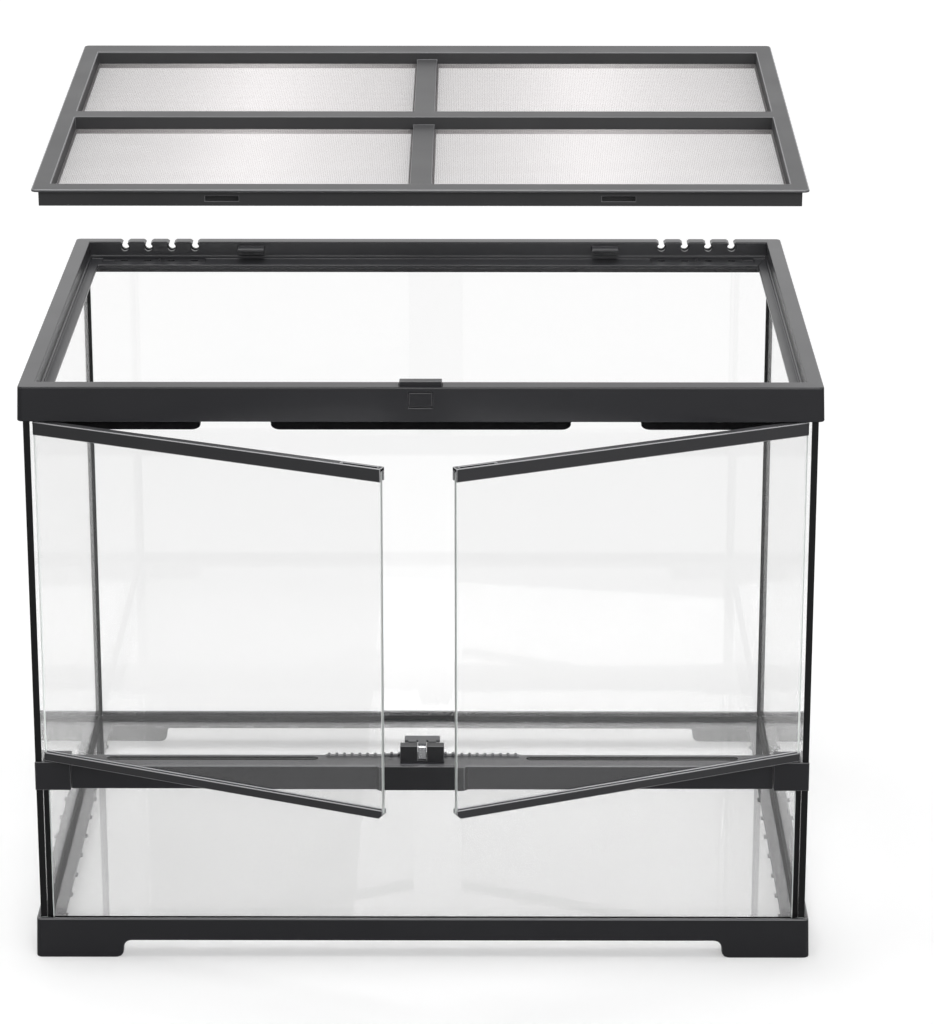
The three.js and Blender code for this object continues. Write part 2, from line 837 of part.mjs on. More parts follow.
// Two lugs under the rim hold the latch pin. The slot above lets the tab through, and the window in
// front lets the button through.
function latchLug(side) {
  const inner = latchBodyWidth / 2 + fitGap;
  const ends = [side * inner, side * (inner + latchLugThickness)];
  return block(
    [Math.min(...ends), Math.max(...ends)],
    [-frameHalfY + frameWall / 2, rimInnerFront - frameWall / 2],
    [latchPinZ - 2 * latchPinRadius - 1, frameTop - rimThickness / 2],
  );
}

function latchOpenings() {
  const tabHalf = tabWidth / 2 + fitGap;
  const buttonHalf = buttonWidth / 2 + fitGap;
  return [
    block(
      [-tabHalf, tabHalf],
      [-frameHalfY + frameWall, tabY[1] + fitGap],
      [frameTop - rimThickness - 1, frameTop + 1],
    ),
    block(
      [-buttonHalf, buttonHalf],
      [-frameHalfY - 2 * frameFlare, -frameHalfY + frameWall + 1],
      [buttonZ[0] - buttonSwingGap, buttonZ[1] + fitGap],
    ),
  ];
}

add("top_frame", topFrame(), blackPlastic);

// ---- Cover ----

const windowX = coverX - coverBorderSide;
const windowY = [coverY[0] + coverBorderFront, coverY[1] - coverBorderRear];
const crossBarY = (windowY[0] + windowY[1]) / 2;
// The four windows that the two bars leave, each as its x span and its y span.
const windows = {
  front_left: [[-windowX, -midBarWidth / 2], [windowY[0], crossBarY - crossBarWidth / 2]],
  front_right: [[midBarWidth / 2, windowX], [windowY[0], crossBarY - crossBarWidth / 2]],
  rear_left: [[-windowX, -midBarWidth / 2], [crossBarY + crossBarWidth / 2, windowY[1]]],
  rear_right: [[midBarWidth / 2, windowX], [crossBarY + crossBarWidth / 2, windowY[1]]],
};

function coverFrame() {
  const low = coverTop - coverHeight;
  const under = coverTop - coverFlange;
  const outside = (more, z) => [coverOverhang + more, coverOverhang + more, coverRearOverhang + more, z];
  const inside = (less, z) => [
    coverBorderSide - less,
    coverBorderFront - less,
    coverBorderRear - less,
    z,
  ];
  const flange = (inset, z) => [inset, inset, inset, z];
  const ring = moulding({ x: [-coverX, coverX], y: coverY }, [
    flange(0, under),
    flange(0, coverTop - edgeChamfer),
    flange(edgeChamfer, coverTop),
    inside(edgeChamfer, coverTop),
    inside(0, coverTop - edgeChamfer),
    inside(0, low),
    inside(coverWall, low),
    inside(coverWall, under),
    outside(coverWall, under),
    outside(coverWall, low),
    outside(0, low),
    outside(0, under),
  ]);
  const lips = Object.values(windows).map((window) => screenLipRing(window));
  const slots = [-1, 1].flatMap((side) => [
    skirtSlot(side * skirtSlotX, coverY[0] + coverOverhang + coverWall / 2),
    skirtSlot(side * hookX, coverY[1] - coverRearOverhang - coverWall / 2),
  ]);
  return cut(join(ring, crossBar(), midBar(), ...lips), ...slots);
}

// The bar across the cover is a channel, open below.
function crossBar() {
  const half = crossBarWidth / 2;
  const low = coverTop - coverHeight;
  const ends = [-windowX - coverWall / 2, windowX + coverWall / 2];
  const body = block(ends, [crossBarY - half, crossBarY + half], [low, coverTop]);
  const hollowHalf = half - coverWall;
  const hollow = block(
    [-windowX, windowX],
    [crossBarY - hollowHalf, crossBarY + hollowHalf],
    [low - 1, coverTop - coverFlange],
  );
  return cut(body, hollow);
}

// The bar from front to rear is lower and solid.
function midBar() {
  const half = midBarWidth / 2;
  const ends = [windowY[0] - coverWall / 2, windowY[1] + coverWall / 2];
  return block([-half, half], ends, [coverTop - coverHeight, coverTop - midBarDrop]);
}

// A narrow lip round a window, which the screen lies on.
function screenLipRing([[x0, x1], [y0, y1]]) {
  const lipTop = coverTop - screenDrop - screenThickness;
  const z = [lipTop - fitGap - screenLip, lipTop];
  return cut(
    block([x0 - screenLipBed, x1 + screenLipBed], [y0 - screenLipBed, y1 + screenLipBed], z),
    block([x0 + screenLip, x1 - screenLip], [y0 + screenLip, y1 - screenLip], [z[0] - 1, z[1] + 1]),
  );
}

function skirtSlot(x, y) {
  const z = coverTop - skirtSlotDrop;
  return block(
    [x - skirtSlotWidth / 2, x + skirtSlotWidth / 2],
    [y - coverWall, y + coverWall],
    [z - skirtSlotHeight, z],
  );
}

// The group turns about the far line, so its pieces are placed by their seated position from there.
const swingLine = new THREE.Vector3(0, coverY[0] - coverSwingReach, coverTop + coverSwingHeight);
const cover = new THREE.Group();
cover.position.copy(swingLine);
cover.rotation.x = THREE.MathUtils.degToRad(coverSwing);
cabinet.add(cover);

function addToCover(name, geometry, material) {
  add(name, geometry.translate(0, -swingLine.y, -swingLine.z), material, cover);
}

// The real screens are fine woven wire. Here each is a thin plate with a plain grid of openings.
function screen([[x0, x1], [y0, y1]]) {
  const top = coverTop - screenDrop + fitGap / 2;
  const z = [top - screenThickness, top];
  const plate = block([x0 + fitGap, x1 - fitGap], [y0 + fitGap, y1 - fitGap], z);
  const openings = gridSpans(x0, x1).flatMap((x) =>
    gridSpans(y0, y1).map((y) => block(x, y, [z[0] - 1, z[1] + 1])),
  );
  return cut(plate, ...openings);
}

// The spans of the openings between two sides of a window, as near to the pitch as they divide.
function gridSpans(side, otherSide) {
  const first = side + fitGap + screenEdge;
  const room = otherSide - fitGap - screenEdge + screenGridBar - first;
  const count = Math.max(1, Math.round(room / screenGridPitch));
  const step = room / count;
  const starts = Array.from({ length: count }, (_, i) => first + i * step);
  return starts.map((start) => [start, start + step - screenGridBar]);
}

addToCover("cover_frame", coverFrame(), blackPlastic);
for (const [name, window] of Object.entries(windows)) {
  addToCover(`${name}_screen`, screen(window), steelScreen);
}

// ---- Cover latch ----

// A press button in the front of the frame and a tab on its rim are one rocker on a pin: pressing
// the button tips the tab forward.
function coverLatch() {
  const half = latchBodyWidth / 2;
  const bodyY = [latchFront, latchFront + latchBodyDepth];
  const bodyZ = [frameTop - rimThickness - latchBodyHeight, frameTop - rimThickness + fitGap];
  const tab = block(
    [-tabWidth / 2, tabWidth / 2],
    tabY,
    [frameTop - rimThickness + fitGap, frameTop + tabHeight],
  );
  const button = block([-buttonWidth / 2, buttonWidth / 2], [-frameHalfY, latchPinY], buttonZ);
  return cut(
    join(block([-half, half], bodyY, bodyZ), tab, button),
    rodAlongX(latchPinRadius + fitGap, [-half - 1, half + 1], latchPinY, latchPinZ),
  );
}

const latchPinHalf = latchBodyWidth / 2 + fitGap + latchLugThickness;

add("cover_latch", coverLatch(), blackPlastic);
add(
  "latch_pin",
  rodAlongX(latchPinRadius, [-latchPinHalf, latchPinHalf], latchPinY, latchPinZ),
  steel,
);

// ---- Inlet sliders ----

// A plate with the same holes as the seat below it, and a grip across its middle.
function inletSlider() {
  const z = seatTop - sliderRecess + fitGap / 2;
  const span = [-sliderX - sliderLength / 2, -sliderX + sliderLength / 2];
  const top = z + sliderThickness;
  const about = (middle, width) => [middle - width / 2, middle + width / 2];
  const plate = join(
    block(span, about(sliderY, sliderWidth), [z, top]),
    block(about(-sliderX, sliderGripWidth), about(sliderY, sliderGripDepth), [z, top + sliderGrip]),
  );
  const holes = notchX.map((x) => rodAlongZ(inletDiameter / 2, [z - 1, top + 1], -x, sliderY));
  return cut(plate, ...holes);
}

addPair("inlet_slider", inletSlider(), darkPlastic);

// ---- Door lock ----

const lockFront = doorBack + lockDoorGap;
const lockY = [lockFront, lockFront + lockDepth];
const lockPinY = lockFront + lockPinSetIn;
const lockPinZ = railTop + lockPinHeight;
const leverTop = railTop + lockHeight + leverRise;
const webFront = lockPinY - leverWebLead;
const webFoot = railTop + lockBridge + leverWebGap;
const webTop = leverTop - leverPlateThickness;

// Two cheeks on a thin bridge.
function lockBase() {
  const half = lockWidth / 2;
  const body = block([-half, half], lockY, [railTop, railTop + lockHeight]);
  const slot = block(
    [-lockSlot / 2, lockSlot / 2],
    [lockY[0] - 1, lockY[1] + 1],
    [railTop + lockBridge, railTop + lockHeight + 1],
  );
  return cut(body, slot, rodAlongX(lockPinRadius + fitGap, [-half - 1, half + 1], lockPinY, lockPinZ));
}

// A web on the pin and a notched plate behind the cheeks, which a finger presses down.
function lockLever() {
  const webHalf = leverWebWidth / 2;
  const plateHalf = leverPlateWidth / 2;
  const plateY = [lockY[1] + fitGap, lockY[1] + fitGap + leverPlateDepth];
  const plateZ = [webTop, leverTop];
  const notchBack = plateY[0] + leverNotchDepth;
  const notch = (x) => block(x, [plateY[0] - 1, notchBack], [webTop - 1, leverTop + 1]);
  const plate = cut(
    block([-plateHalf, plateHalf], plateY, plateZ),
    notch([-leverNotchWidth / 2, -webHalf]),
    notch([webHalf, leverNotchWidth / 2]),
    notch([-plateHalf - 1, -plateHalf + leverEdgeNotch]),
    notch([plateHalf - leverEdgeNotch, plateHalf + 1]),
  );
  const web = block([-webHalf, webHalf], [webFront, lockY[1] - leverWebRearGap], [webFoot, webTop]);
  const neck = block([-webHalf, webHalf], [lockPinY, notchBack + 1], plateZ);
  return cut(
    join(plate, web, neck),
    rodAlongX(lockPinRadius + fitGap, [-webHalf - 1, webHalf + 1], lockPinY, lockPinZ),
  );
}

// A steel strip up the front of the web and back over its top.
function lockCatch() {
  const profile = outline([
    [webFront, webFoot],
    [webFront - catchThickness, webFoot],
    [webFront - catchThickness, webTop],
    [webFront, webTop + catchThickness],
    [lockPinY, webTop + catchThickness],
    [lockPinY, webTop],
    [webFront, webTop],
  ]);
  return extrudeAlongX(profile, [-catchWidth / 2, catchWidth / 2]);
}

add("lock_base", lockBase(), darkPlastic);
add(
  "lock_pin",
  rodAlongX(
    lockPinRadius,
    [-lockWidth / 2 + lockPinInset, lockWidth / 2 - lockPinInset],
    lockPinY,
    lockPinZ,
  ),
  steel,
);
add("lock_lever", lockLever(), greyPlastic);
add("lock_catch", lockCatch(), steel);

// ---- Doors ----

// A door is made closed, as the left-hand one, with the hinge axis as its origin and its free edge
// towards +X.
const doorHalf = doorThickness / 2;
const grooveHalf = doorGlass / 2 + fitGap;
const paneTopZ = doorTop - doorRailWeb - fitGap;
const paneFootZ = doorBottom + doorRailWeb + fitGap;
const pinBore = hingePinRadius + fitGap;

// The outline of a rail from above: round at the hinge, square at the free end.
function railOutline() {
  const shape = new THREE.Shape();
  shape.moveTo(0, -doorHalf);
  shape.lineTo(doorReach, -doorHalf);
  shape.lineTo(doorReach, doorHalf);
  shape.lineTo(0, doorHalf);
  shape.absarc(0, 0, doorHalf, Math.PI / 2, (3 * Math.PI) / 2, false);
  return shape;
}

function railGroove(z) {
  return block([-doorHalf - 1, doorReach + 1], [-grooveHalf, grooveHalf], z);
}

function doorTopRailPiece() {
  const body = extrudeAlongZ(railOutline(), [doorTop - doorTopRail, doorTop]);
  const end = doorReach - pocketSetIn;
  return cut(
    body,
    railGroove([doorTop - doorTopRail - 1, doorTop - doorRailWeb]),
    block(
      [end - pocketLength, end],
      [-pocketWidth / 2, pocketWidth / 2],
      [doorTop - pocketDepth, doorTop + 1],
    ),
    rodAlongZ(pinBore, [doorTop - doorRailWeb - 1, doorTop + 1], 0, 0),
  );
}

function doorBottomRailPiece() {
  const body = extrudeAlongZ(railOutline(), [doorBottom, doorBottom + doorBottomRail]);
  const chamfer = outline([
    [doorReach - doorEndChamfer - 1, doorBottom - 1],
    [doorReach + 1, doorBottom - 1],
    [doorReach + 1, doorBottom + doorEndChamfer + 1],
  ]);
  return cut(
    body,
    railGroove([doorBottom + doorRailWeb, doorBottom + doorBottomRail + 1]),
    extrudeAlongY(chamfer, [-doorHalf - 1, doorHalf + 1]),
    rodAlongZ(pinBore, [doorBottom - 1, doorBottom + doorRailWeb + 1], 0, 0),
  );
}

function doorPieces() {
  return {
    door_pane: [
      block(
        [-doorHalf + 1, doorReach - edgeChamfer],
        [-doorGlass / 2, doorGlass / 2],
        [paneFootZ, paneTopZ],
      ),
      clearGlass,
    ],
    door_top_rail: [doorTopRailPiece(), blackPlastic],
    door_bottom_rail: [doorBottomRailPiece(), blackPlastic],
    door_upper_pin: [rodAlongZ(hingePinRadius, [doorTop - doorRailWeb, upperPinTop], 0, 0), steel],
    door_lower_pin: [
      rodAlongZ(hingePinRadius, [lowerPinFoot, doorBottom + doorRailWeb], 0, 0),
      steel,
    ],
  };
}

// The left door opens by turning clockwise from above, and the right door is its mirror image.
function addDoor(name, side) {
  const door = new THREE.Group();
  door.position.set(side * hingeX, hingeY, 0);
  door.rotation.z = side * THREE.MathUtils.degToRad(doorAjar);
  cabinet.add(door);
  for (const [piece, [geometry, material]] of Object.entries(doorPieces())) {
    add(`${name}_${piece}`, side < 0 ? geometry : mirrored(geometry), material, door);
  }
}

addDoor("left", -1);
addDoor("right", 1);

// ---- Origin ----

// The middle of the underside of everything, with the doors ajar.
const bounds = new THREE.Box3().setFromObject(cabinet, true);
const middle = bounds.getCenter(new THREE.Vector3());
cabinet.position.set(-middle.x, -middle.y, -bounds.min.z);

export default cabinet;
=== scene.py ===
# A glass terrarium cabinet as photographed: moulded black frames round glass panes, two glass doors
# ajar over a vent rail, and a wire-screen cover lifted off its seat. All lengths are in metres.

import json
import math

import bmesh
import bpy
from mathutils import Matrix, Vector


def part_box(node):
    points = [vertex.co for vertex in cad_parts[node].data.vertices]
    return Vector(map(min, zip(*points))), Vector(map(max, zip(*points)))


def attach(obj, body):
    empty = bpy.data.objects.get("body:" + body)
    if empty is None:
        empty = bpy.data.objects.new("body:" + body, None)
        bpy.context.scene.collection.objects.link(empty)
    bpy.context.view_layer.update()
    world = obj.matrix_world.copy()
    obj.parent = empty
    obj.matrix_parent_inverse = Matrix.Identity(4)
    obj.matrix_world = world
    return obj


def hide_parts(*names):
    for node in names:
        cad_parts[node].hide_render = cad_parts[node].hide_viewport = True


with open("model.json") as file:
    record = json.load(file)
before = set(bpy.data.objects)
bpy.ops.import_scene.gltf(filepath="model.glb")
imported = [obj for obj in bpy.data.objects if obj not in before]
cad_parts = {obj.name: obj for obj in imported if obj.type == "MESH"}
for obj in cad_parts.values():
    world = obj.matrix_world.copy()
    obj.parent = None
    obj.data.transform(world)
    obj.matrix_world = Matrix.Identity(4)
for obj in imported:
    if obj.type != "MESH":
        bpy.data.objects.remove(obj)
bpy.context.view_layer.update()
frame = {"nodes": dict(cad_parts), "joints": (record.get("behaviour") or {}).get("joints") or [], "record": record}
MM = 0.001


# ---- Camera ----
# A long lens in front of the cabinet and above it, which looks down over the rim into the base.
# It stands where the corners of both frames fall closest to their places in the photograph.

CAMERA_PLACE = (0.0441, -2.968, 1.284)
CAMERA_PITCH = 18.13  # degrees below the horizon
CAMERA_TURN = 0.19  # degrees to the left
CAMERA_LENS = 136.8  # mm, over a sensor 36 mm on its long side

camera_data = bpy.data.cameras.new("camera")
camera_data.lens = CAMERA_LENS
camera_data.clip_end = 60
camera = bpy.data.objects.new("camera", camera_data)
camera.location = CAMERA_PLACE
camera.rotation_euler = (math.radians(90 - CAMERA_PITCH), 0, math.radians(CAMERA_TURN))
bpy.context.scene.collection.objects.link(camera)
bpy.context.scene.camera = camera


# ---- Studio ----
# A white paper floor and white surroundings, with softboxes overhead, in front and on the right.
# The paper gives little light back to the object, as if it were screened off by flags.


def linear(colour):
    """An sRGB hex value as the linear colour that shaders take."""
    channels = [int(colour[i : i + 2], 16) / 255 for i in (1, 3, 5)]
    return [c / 12.92 if c <= 0.04045 else ((c + 0.055) / 1.055) ** 2.4 for c in channels] + [1]


def add_node(tree, kind, inputs=None, **settings):
    """Adds a node. An input given as another node's output is linked, and any other is set."""
    node = tree.nodes.new(kind)
    for name, value in settings.items():
        setattr(node, name, value)
    for name, value in (inputs or {}).items():
        if isinstance(value, bpy.types.NodeSocket):
            tree.links.new(value, node.inputs[name])
        else:
            node.inputs[name].default_value = value
    return node


def start_material(name):
    """An empty material and its node tree."""
    material = bpy.data.materials.new(name)
    material.use_nodes = True
    material.node_tree.nodes.clear()
    return material, material.node_tree


def any_ray(tree, *kinds):
    """1 for rays of the given kinds, and 0 for all others."""
    path = add_node(tree, "ShaderNodeLightPath").outputs
    found = path[kinds[0]]
    for kind in kinds[1:]:
        found = add_node(
            tree, "ShaderNodeMath", {0: found, 1: path[kind]}, operation="MAXIMUM"
        ).outputs[0]
    return found


PAPER_COLOUR = "#cbcbcb"  # where it is seen directly or through glass
PAPER_COLOUR_ON_OBJECT = "#8c8c8c"  # for the light that it gives back to the object
PAPER_GLOW = (0.36, 0.8)  # added where it is seen directly, so that unshaded paper is just white
PAPER_GLOW_CENTRE = (0, -0.2, 0)
PAPER_GLOW_SPAN = (0.5, 4)  # from there, over which the lamps fade and the glow makes up for it
PAPER_SIZE = 24
SKY_LIGHT = 0.45  # on the object; the sky is 1, white, where it is seen directly
SKY_SHEEN = 0.4  # more, where gloss reflects it

# Matt white background paper, which fades to plain white round the object's soft shadow.
paper, tree = start_material("white_paper")
seen = any_ray(tree, "Is Camera Ray", "Is Transmission Ray")
paper_colour = add_node(
    tree,
    "ShaderNodeMixRGB",
    {"Fac": seen, "Color1": linear(PAPER_COLOUR_ON_OBJECT), "Color2": linear(PAPER_COLOUR)},
)
place = add_node(tree, "ShaderNodeTexCoord").outputs["Object"]
distance = add_node(
    tree, "ShaderNodeVectorMath", {0: place, 1: PAPER_GLOW_CENTRE}, operation="DISTANCE"
)
reach = add_node(
    tree,
    "ShaderNodeMapRange",
    {
        "Value": distance.outputs["Value"],
        "From Min": PAPER_GLOW_SPAN[0],
        "From Max": PAPER_GLOW_SPAN[1],
        "To Min": PAPER_GLOW[0],
        "To Max": PAPER_GLOW[1],
    },
)
glow = add_node(
    tree, "ShaderNodeMath", {0: seen, 1: reach.outputs["Result"]}, operation="MULTIPLY"
)
lit = add_node(tree, "ShaderNodeBsdfDiffuse", {"Color": paper_colour.outputs["Color"]})
glowing = add_node(tree, "ShaderNodeEmission", {"Strength": glow.outputs[0]})
both = add_node(tree, "ShaderNodeAddShader", {0: lit.outputs[0], 1: glowing.outputs[0]})
add_node(tree, "ShaderNodeOutputMaterial", {"Surface": both.outputs[0]})

floor_mesh = bpy.data.meshes.new("floor")
half = PAPER_SIZE / 2
floor_mesh.from_pydata(
    [(-half, -half, 0), (half, -half, 0), (half, half, 0), (-half, half, 0)], [], [(0, 1, 2, 3)]
)
floor_mesh.materials.append(paper)
floor = bpy.data.objects.new("floor", floor_mesh)
bpy.context.scene.collection.objects.link(floor)

world = bpy.data.worlds.new("studio")
world.use_nodes = True
world.node_tree.nodes.clear()
tree = world.node_tree
seen = any_ray(tree, "Is Camera Ray", "Is Glossy Ray", "Is Transmission Ray")
strength = add_node(
    tree, "ShaderNodeMapRange", {"Value": seen, "To Min": SKY_LIGHT, "To Max": 1}
)
with_sheen = add_node(
    tree,
    "ShaderNodeMath",
    {0: any_ray(tree, "Is Glossy Ray"), 1: SKY_SHEEN, 2: strength.outputs[0]},
    operation="MULTIPLY_ADD",
)
sky = add_node(tree, "ShaderNodeBackground", {"Strength": with_sheen.outputs[0]})
add_node(tree, "ShaderNodeOutputWorld", {"Surface": sky.outputs[0]})
bpy.context.scene.world = world


def add_softbox(name, place, target, size, watts):
    """A square area lamp turned to a point."""
    data = bpy.data.lights.new(name, "AREA")
    data.shape = "SQUARE"
    data.size = size
    data.energy = watts
    lamp = bpy.data.objects.new(name, data)
    lamp.location = place
    lamp.rotation_euler = (Vector(target) - Vector(place)).to_track_quat("-Z", "Y").to_euler()
    bpy.context.scene.collection.objects.link(lamp)


add_softbox("overhead_softbox", (-0.2, 0.1, 2.9), (0, 0, 0.3), size=1.5, watts=62)
add_softbox("right_softbox", (2.0, -1.7, 1.2), (0.1, 0, 0.3), size=1.0, watts=10)
add_softbox("front_softbox", (0.5, -2.7, 1.7), (0, 0, 0.3), size=1.4, watts=28)

bpy.context.scene.view_settings.view_transform = "Standard"


# ---- Base frame ----
# One injection moulding of black ABS, satin from a spark-eroded mould, with four corner feet.
# Its ledge carries the bottom pane. The mould leaves every edge slightly round, which shines, and the edges carry
# a painted highlight as well.

ABS_CLOUDS = 14  # per metre, so that a patch is about as wide as a foot of the frame is long
ABS_GRAIN = 0.45 * MM  # the mould's spark grain is about half of this, too fine to show
ABS_GRAIN_DEPTH = 0.03 * MM
ABS_IOR = 1.45
FRAME_ROUNDING = 0.55 * MM
SAME_POINT = 0.002 * MM
SAME_PLANE = math.radians(0.5)
EVEN_QUAD = math.radians(60)  # how far a joined pair of triangles may be from a rectangle
ROUNDED_ANGLE = math.radians(30)
SHARP_ANGLE = math.radians(35)


def moulded_abs(name, colour, cloud_colour, roughness, gloss_level=0.5):
    """Satin moulded ABS: even colour with faint clouding, a fine grain and soft gloss."""
    material, tree = start_material(name)
    place = add_node(tree, "ShaderNodeTexCoord").outputs["Object"]
    cloud = add_node(
        tree, "ShaderNodeTexNoise", {"Vector": place, "Scale": ABS_CLOUDS, "Detail": 4}
    )
    colours = add_node(
        tree,
        "ShaderNodeMixRGB",
        {"Fac": cloud.outputs["Fac"], "Color1": linear(colour), "Color2": linear(cloud_colour)},
    )
    gloss = add_node(
        tree,
        "ShaderNodeMapRange",
        {
            "Value": cloud.outputs["Fac"],
            "From Min": 0.3,
            "From Max": 0.7,
            "To Min": roughness[0],
            "To Max": roughness[1],
        },
    )
    grain = add_node(
        tree, "ShaderNodeTexNoise", {"Vector": place, "Scale": 1 / ABS_GRAIN, "Detail": 1}
    )
    bump = add_node(
        tree,
        "ShaderNodeBump",
        {"Height": grain.outputs["Fac"], "Strength": 0.15, "Distance": ABS_GRAIN_DEPTH},
    )
    shader = add_node(
        tree,
        "ShaderNodeBsdfPrincipled",
        {
            "Base Color": colours.outputs["Color"],
            "Roughness": gloss.outputs["Result"],
            "Normal": bump.outputs["Normal"],
            "IOR": ABS_IOR,
            "Specular IOR Level": gloss_level,
        },
    )
    add_node(tree, "ShaderNodeOutputMaterial", {"Surface": shader.outputs[0]})
    return material


def merged_copy(node):
    """A node's mesh with its loose triangles joined, and its flats cut up anew in even shapes."""
    build = bmesh.new()
    build.from_mesh(frame["nodes"][node].data)
    bmesh.ops.remove_doubles(build, verts=build.verts, dist=SAME_POINT)
    bmesh.ops.dissolve_limit(build, angle_limit=SAME_PLANE, verts=build.verts, edges=build.edges)
    bmesh.ops.triangulate(build, faces=build.faces, quad_method="BEAUTY", ngon_method="BEAUTY")
    flat = [edge for edge in build.edges if edge.calc_face_angle() < SAME_PLANE]
    bmesh.ops.beautify_fill(build, faces=build.faces, edges=flat, method="ANGLE")
    bmesh.ops.join_triangles(
        build,
        faces=build.faces,
        angle_face_threshold=SAME_PLANE,
        angle_shape_threshold=EVEN_QUAD,
    )
    mesh = bpy.data.meshes.new(node)
    build.to_mesh(mesh)
    build.free()
    return mesh


def body_of_node(node):
    """The moving body that a CAD node belongs to."""
    bodies = frame["record"]["behaviour"]["bodies"]
    return next(body for body, nodes in bodies.items() if node in nodes)


def add_piece(name, mesh, materials, body):
    """Puts a finished mesh in the scene as a piece that rides on a body."""
    mesh.materials.clear()
    for material in materials:
        mesh.materials.append(material)
    piece = bpy.data.objects.new(name, mesh)
    bpy.context.scene.collection.objects.link(piece)
    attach(piece, body)
    return piece


def shade(mesh):
    """Shades curves smooth and keeps sharp edges sharp."""
    mesh.shade_smooth()
    mesh.set_sharp_from_angle(angle=SHARP_ANGLE)


def round_edges(piece, width, edge_slot, segments=2):
    """Rounds every sharp edge, in the material of a slot, and keeps the flats between them flat."""
    shade(piece.data)
    rounding = piece.modifiers.new("rounding", "BEVEL")
    rounding.width = width
    rounding.segments = segments
    rounding.limit_method = "ANGLE"
    rounding.angle_limit = ROUNDED_ANGLE
    rounding.use_clamp_overlap = False
    rounding.material = edge_slot
    shading = piece.modifiers.new("flat_shading", "WEIGHTED_NORMAL")
    shading.keep_sharp = True


def dress(node, material, rounding, edge=None):
    """Stands a copy of a node in its place, in a real finish, with its rounded edges in a second material, a
    painted highlight where that is paler.
    """
    materials = [material, edge or material]
    piece = add_piece(
        f"{node}_piece", merged_copy(node), materials, body_of_node(node)
    )
    round_edges(piece, rounding, edge_slot=1)
    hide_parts(node)
    return piece


# Satin black ABS takes broad soft highlights, which turn its black to a dark grey.
black_abs = moulded_abs(
    "satin_black_abs", colour="#262629", cloud_colour="#2a2a2d", roughness=(0.29, 0.33)
)
# The same, painted paler on the rounded edges: a painted highlight that shows as thin pale lines.
edge_highlight_abs = moulded_abs(
    "painted_highlight_abs_edge", colour="#626264", cloud_colour="#6c6c6e", roughness=(0.28, 0.34)
)
dress("base_frame", black_abs, FRAME_ROUNDING, edge=edge_highlight_abs)


# ---- Panes ----
# Clear float glass, 5 mm thick: a bottom pane, two sides, a rear pane and a low front pane.
# The faces are fire-polished. The edges are ground, which leaves them pale and half clear.

GLASS_IOR = 1.52
ARRIS = 0.5 * MM


def float_glass(name, colour, roughness, clearness):
    """Soda-lime glass. Light from the lamps goes straight through it, so that it casts no shade."""
    material, tree = start_material(name)
    glass = add_node(
        tree,
        "ShaderNodeBsdfPrincipled",
        {
            "Base Color": linear(colour),
            "Roughness": roughness,
            "IOR": GLASS_IOR,
            "Transmission Weight": clearness,
        },
    )
    clear = add_node(tree, "ShaderNodeBsdfTransparent", {"Color": linear(colour)})
    lamp_ray = add_node(tree, "ShaderNodeLightPath").outputs["Is Shadow Ray"]
    mix = add_node(
        tree, "ShaderNodeMixShader", {0: lamp_ray, 1: glass.outputs[0], 2: clear.outputs[0]}
    )
    add_node(tree, "ShaderNodeOutputMaterial", {"Surface": mix.outputs[0]})
    return material


# Polished float glass is clear, with sharp faint reflections.
polished_glass = float_glass("polished_float_glass", "#f8f8f8", roughness=0, clearness=1)
# The same, tinted greyer as painted shade for the front and bottom panes, so that the paper in the cabinet's shade
# looks greyer through them.
low_glass = float_glass("polished_low_glass", "#ebebeb", roughness=0, clearness=1)
# Ground edges are a pale, half clear, faintly green line.
edge_glass = float_glass("ground_glass_edge", "#e9efec", roughness=0.3, clearness=0.5)


def dress_pane(node, glass):
    """A pane with clear faces, and duller edges with a small arris along each."""
    mesh = merged_copy(node)
    piece = add_piece(
        f"{node}_piece", mesh, [glass, edge_glass], body_of_node(node)
    )
    pane_area = max(face.area for face in mesh.polygons)
    for face in mesh.polygons:
        face.material_index = 0 if face.area > pane_area / 2 else 1
    round_edges(piece, ARRIS, edge_slot=1, segments=1)
    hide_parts(node)


for pane in ("left", "right", "rear"):
    dress_pane(f"{pane}_pane", polished_glass)
for pane in ("bottom", "front"):
    dress_pane(f"{pane}_pane", low_glass)


# ---- Silicone joints ----
# Black acetic silicone holds the panes together, pressed smooth by a finger into a shiny, slightly
# wavy bead. Thin black strips cover the front edges of the side panes.

SILICONE_COLOUR = "#141415"
SILICONE_IOR = 1.41
SILICONE_WAVE = 9 * MM
SILICONE_WAVE_DEPTH = 0.4 * MM
SILICONE_ROUNDING = 0.4 * MM
THIN_ROUNDING = 0.2 * MM
REAR_FILLET = 0.8 * MM  # the fillet shows as a thin line only, so it is drawn in from the solid's

# Cured silicone is a deep black, with highlights that run unevenly along the bead.
silicone, tree = start_material("black_silicone")
place = add_node(tree, "ShaderNodeTexCoord").outputs["Object"]
wave = add_node(
    tree, "ShaderNodeTexNoise", {"Vector": place, "Scale": 1 / SILICONE_WAVE, "Detail": 2}
)
ripple = add_node(
    tree,
    "ShaderNodeBump",
    {"Height": wave.outputs["Fac"], "Strength": 0.5, "Distance": SILICONE_WAVE_DEPTH},
)
shader = add_node(
    tree,
    "ShaderNodeBsdfPrincipled",
    {
        "Base Color": linear(SILICONE_COLOUR),
        "Roughness": 0.42,
        "Normal": ripple.outputs["Normal"],
        "IOR": SILICONE_IOR,
        "Specular IOR Level": 0.35,
    },
)
add_node(tree, "ShaderNodeOutputMaterial", {"Surface": shader.outputs[0]})

